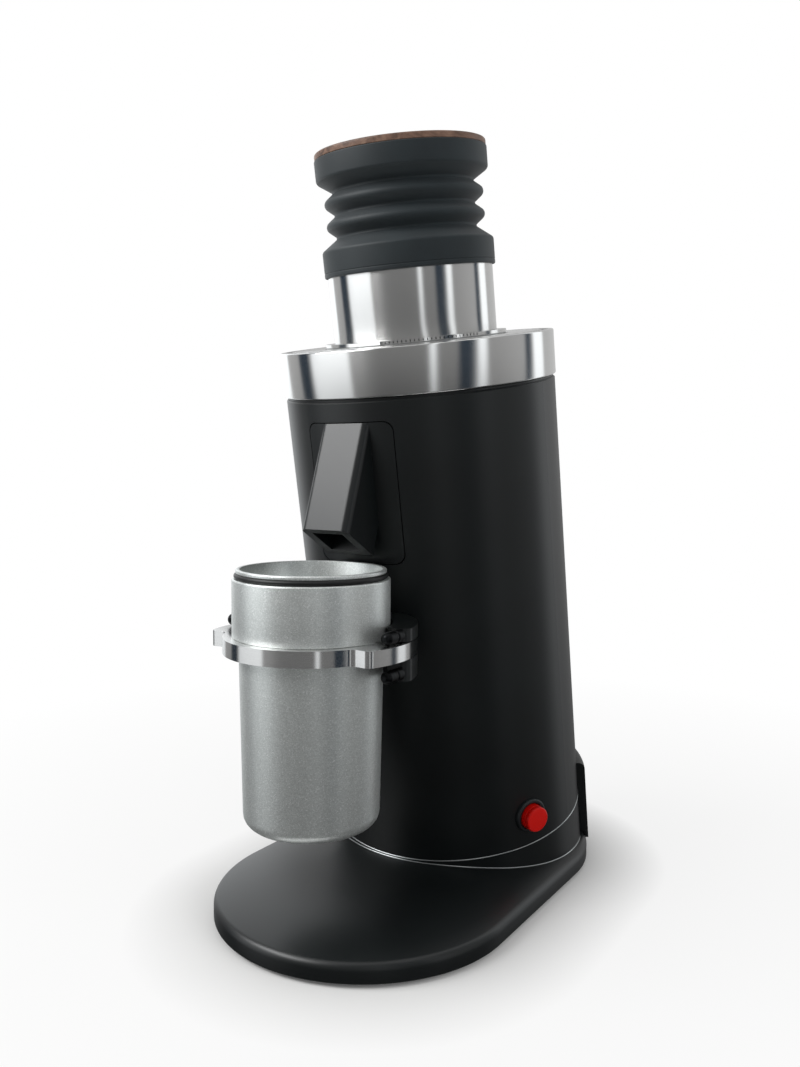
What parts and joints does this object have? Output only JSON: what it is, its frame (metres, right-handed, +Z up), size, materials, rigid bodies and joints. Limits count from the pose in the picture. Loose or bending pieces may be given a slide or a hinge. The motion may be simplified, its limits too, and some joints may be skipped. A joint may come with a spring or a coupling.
{
  "type": "burr coffee grinder",
  "caption": "Leaning single-dose burr coffee grinder with a bellows hopper, a turning grind dial, a front chute and a cup held in a fork on its stand.",
  "frame": {"origin": "centre of the bounding box's bottom face, on the table under the rubber feet", "axes": "+Z up, -Y the front where the cup stands, +X the side with the power button"},
  "size_m": [0.127, 0.213, 0.3257],
  "materials": {
    "black_anodised": "satin black anodised aluminium",
    "bright_aluminium": "fine turned, bright",
    "blasted_steel": "bead blasted",
    "soft_black": "matt silicone rubber",
    "walnut": "oiled",
    "red_button": "gloss",
    "black_plastic": "moulded",
    "fastener_steel": "zinc plated",
    "cast_aluminium": "as machined",
    "tool_steel": "ground",
    "core_iron": "stacked sheet",
    "copper": "varnished wire",
    "pin_brass": "bare"
  },
  "bodies": {
    "stand": {"foot_plate": "black_anodised", "rubber_feet": "soft_black", "plinth": "black_anodised", "base_screws": "fastener_steel", "chassis_plate": "cast_aluminium", "chassis_screws": "fastener_steel", "tie_rods": "fastener_steel", "body_shell": "black_anodised", "inlet_housing": "black_anodised", "inlet_socket": "black_plastic", "inlet_pins": "pin_brass", "inlet_screws": "fastener_steel", "button_bezel": "black_plastic", "switch_nut": "black_plastic", "switch_body": "black_plastic", "button_spring": "fastener_steel", "capacitor": "black_plastic", "capacitor_clip": "fastener_steel", "motor_lower_bell": "cast_aluminium", "motor_upper_bell": "cast_aluminium", "stator_core": "core_iron", "stator_windings": "copper", "motor_bolts": "fastener_steel", "bearing_outer_races": "tool_steel", "bearing_balls": "tool_steel", "grind_chamber": "black_anodised", "motor_screws": "fastener_steel", "shaft_seal": "soft_black", "snap_ring": "fastener_steel", "guide_pins": "fastener_steel", "carrier_springs": "fastener_steel", "chute": "black_anodised", "clump_screen": "fastener_steel", "fork_bracket": "black_anodised", "fork_tips": "fastener_steel", "fork_screws": "fastener_steel"},
    "dial": {"adjust_dial": "bright_aluminium"},
    "carrier": {"upper_burr_carrier": "cast_aluminium", "upper_burr": "tool_steel", "upper_burr_screws": "fastener_steel", "scale_disc": "bright_aluminium", "hopper_collar": "bright_aluminium", "collar_studs": "fastener_steel"},
    "rotor": {"rotor_core": "core_iron", "motor_shaft": "tool_steel", "bearing_inner_races": "tool_steel", "cooling_fan": "black_plastic", "lower_burr_carrier": "cast_aluminium", "lower_burr": "tool_steel", "lower_burr_screws": "fastener_steel", "bean_auger": "tool_steel"},
    "bellows_sleeve": {"bellows_cuff": "soft_black", "bellows": "soft_black"},
    "bellows_top": {"bellows_cap": "soft_black"},
    "lid": {"wood_lid": "walnut", "lid_seal": "soft_black"},
    "button": {"power_button": "red_button"},
    "cup": {"dosing_cup": "blasted_steel", "cup_seal": "soft_black", "cup_ring": "bright_aluminium"}
  },
  "joints": [
    {"name": "dial_turn", "type": "hinge", "parent": "stand", "child": "dial", "pos_m": [0, 0.00397, 0.23237], "axis": [0, -0.1805, 0.9836], "range_deg": [-80, 280]},
    {"name": "carrier_rise", "type": "slide", "parent": "stand", "child": "carrier", "axis": [0, -0.1805, 0.9836], "range_m": [-0.00034, 0.00118], "deforming": ["carrier_springs"]},
    {"name": "burr_spin", "type": "hinge", "parent": "stand", "child": "rotor", "pos_m": [0, 0.02383, 0.12417], "axis": [0, -0.1805, 0.9836], "continuous": true},
    {"name": "bellows_lift", "type": "slide", "parent": "carrier", "child": "bellows_sleeve", "axis": [0, -0.1805, 0.9836], "range_m": [0, 0.06]},
    {"name": "bellows_press", "type": "slide", "parent": "bellows_sleeve", "child": "bellows_top", "axis": [0, -0.1805, 0.9836], "range_m": [-0.012, 0], "stiffness_N_per_m": 400, "springref_m": 0.002, "deforming": ["bellows"]},
    {"name": "lid_lift", "type": "slide", "parent": "bellows_top", "child": "lid", "axis": [0, -0.1805, 0.9836], "range_m": [0, 0.05]},
    {"name": "button_press", "type": "slide", "parent": "stand", "child": "button", "axis": [0.8988, -0.4312, -0.0791], "range_m": [-0.0025, 0], "stiffness_N_per_m": 600, "springref_m": 0.002, "deforming": ["button_spring"]},
    {"name": "cup_slide", "type": "slide", "parent": "stand", "child": "cup", "axis": [0, -1, 0], "range_m": [0, 0.09]}
  ],
  "couplings": [
    {"joint": "carrier_rise", "follows": "dial_turn", "m_per_rad": 0.00023873}
  ]
}
